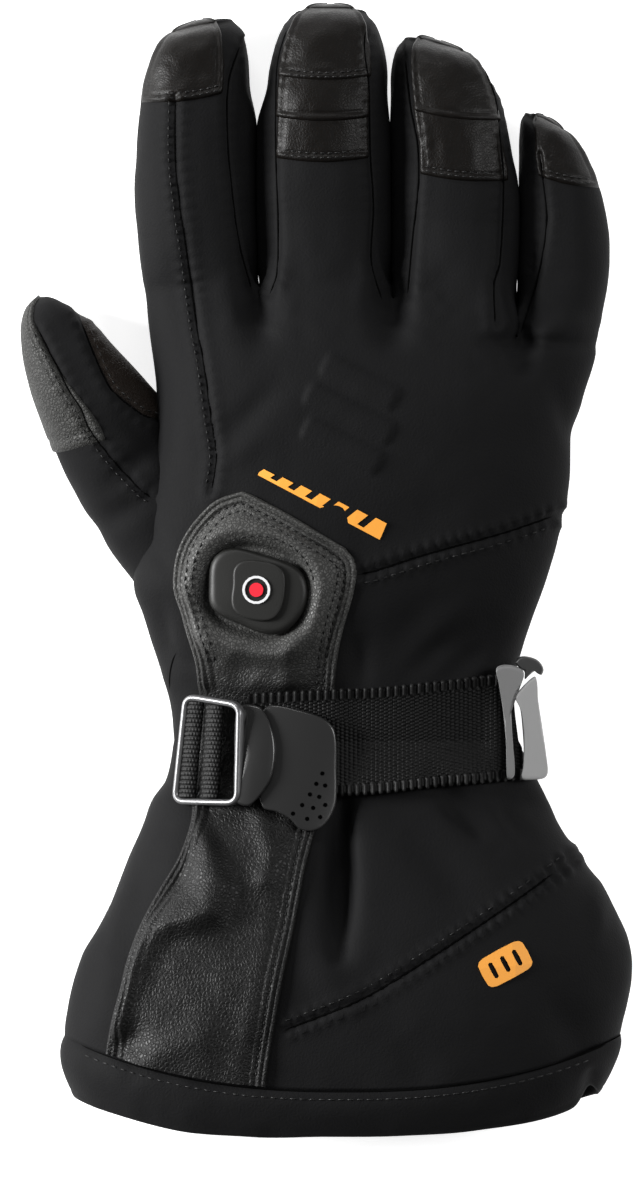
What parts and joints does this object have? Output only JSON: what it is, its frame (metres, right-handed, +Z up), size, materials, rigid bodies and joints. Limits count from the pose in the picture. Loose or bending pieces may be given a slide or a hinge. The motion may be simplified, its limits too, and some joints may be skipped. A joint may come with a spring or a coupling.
{
  "type": "heated glove",
  "caption": "Right-hand padded winter glove with leather tips, wrist strap, round heat switch and flared gauntlet cuff, lying palm down.",
  "frame": {"origin": "middle of the bounding box at the face that the glove rests on", "axes": "+Y from the cuff towards the fingertips, +Z up from the palm to the back of the hand, thumb on the -X side"},
  "size_m": [0.175, 0.3204, 0.0587],
  "materials": {
    "softshell": "matt padded softshell",
    "palm_leather": "matt leather",
    "cap_leather": "smooth leather with a low sheen",
    "grey_leather": "pebbled leather, lightly worn",
    "patch_leather": "pebbled leather with broad highlights",
    "switch_rubber": "satin moulded rubber",
    "lamp_white": "plain print",
    "lamp_red": "clear lens",
    "webbing": "ribbed webbing",
    "tab_rubber": "smooth satin",
    "buckle_plastic": "satin moulded plastic",
    "black_plastic": "polished black",
    "orange_print": "flat raised print"
  },
  "bodies": {
    "root": {"back_panel": "softshell", "palm_panel": "palm_leather", "cuff_back": "softshell", "cuff_palm": "palm_leather", "hem_band": "softshell", "index_finger": "softshell", "middle_finger": "softshell", "ring_finger": "softshell", "little_finger": "softshell", "index_cap": "cap_leather", "middle_cap": "cap_leather", "ring_cap": "cap_leather", "little_cap": "cap_leather", "thumb_shell": "palm_leather", "thumb_patch": "grey_leather", "control_patch": "patch_leather", "switch_housing": "switch_rubber", "switch_button": "switch_rubber", "lamp_ring": "lamp_white", "lamp_lens": "lamp_red", "wrist_strap": "webbing", "strap_fold": "webbing", "pull_tab": "tab_rubber", "tab_loop": "tab_rubber", "loop_buckle": "buckle_plastic", "hook_buckle_frame": "buckle_plastic", "hook_buckle_hook": "black_plastic", "hook_buckle_bar": "black_plastic", "heat_gauge": "orange_print", "cuff_badge": "orange_print"}
  },
  "joints": []
}
